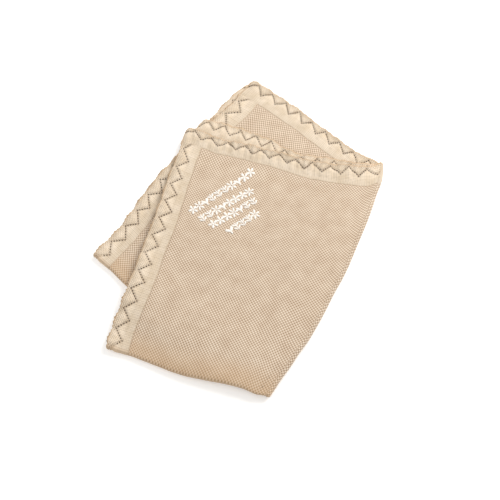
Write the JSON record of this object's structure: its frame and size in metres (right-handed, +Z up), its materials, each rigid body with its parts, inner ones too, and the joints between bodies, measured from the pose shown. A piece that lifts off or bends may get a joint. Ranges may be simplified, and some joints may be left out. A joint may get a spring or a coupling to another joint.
{
  "type": "baby blanket",
  "caption": "Knitted baby blanket folded in quarters and fanned, with openwork zigzag borders, a moss-stitch centre and an embroidered ornament; its side fold opens.",
  "frame": {"origin": "centre of the folded blanket's bounding box, on the surface it lies on", "axes": "+Y along the side fold towards the loose ends, +Z up, both halves on the -X side of the side fold"},
  "size_m": [0.4572, 0.6596, 0.0165],
  "materials": {
    "panel_knit": "matte moss-stitch cotton knit, beige",
    "border_knit": "matte smooth cotton knit with eyelets, pale beige",
    "seam_yarn": "matte linked cotton seam",
    "embroidery_thread": "soft-sheen white embroidery thread"
  },
  "bodies": {
    "lower_half": {"bottom_layer_end_border": "border_knit", "bottom_layer_panel": "panel_knit", "bottom_layer_seam": "seam_yarn", "bottom_layer_side_border": "border_knit", "lower_end_fold_border": "border_knit", "lower_end_fold_panel": "panel_knit", "lower_inner_side_fold_border": "border_knit", "lower_inner_side_fold_panel": "panel_knit", "lower_outer_side_fold_border": "border_knit", "lower_outer_side_fold_panel": "panel_knit", "third_layer_end_border": "border_knit", "third_layer_panel": "panel_knit", "third_layer_seam": "seam_yarn", "third_layer_side_border": "border_knit"},
    "upper_half": {"embroidery_row_1": "embroidery_thread", "embroidery_row_2": "embroidery_thread", "embroidery_row_3": "embroidery_thread", "embroidery_row_4": "embroidery_thread", "second_layer_end_border": "border_knit", "second_layer_panel": "panel_knit", "second_layer_seam": "seam_yarn", "second_layer_side_border": "border_knit", "top_layer_end_border": "border_knit", "top_layer_panel": "panel_knit", "top_layer_seam": "seam_yarn", "top_layer_side_border": "border_knit", "upper_end_fold_border": "border_knit", "upper_end_fold_panel": "panel_knit", "upper_inner_side_fold_border": "border_knit", "upper_inner_side_fold_panel": "panel_knit", "upper_outer_side_fold_border": "border_knit", "upper_outer_side_fold_panel": "panel_knit"}
  },
  "joints": [
    {"name": "side_fold_open", "type": "hinge", "parent": "lower_half", "child": "upper_half", "pos_m": [0.22856, 0, 0.0078], "axis": [0, 1, 0], "range_deg": [0, 180]}
  ]
}
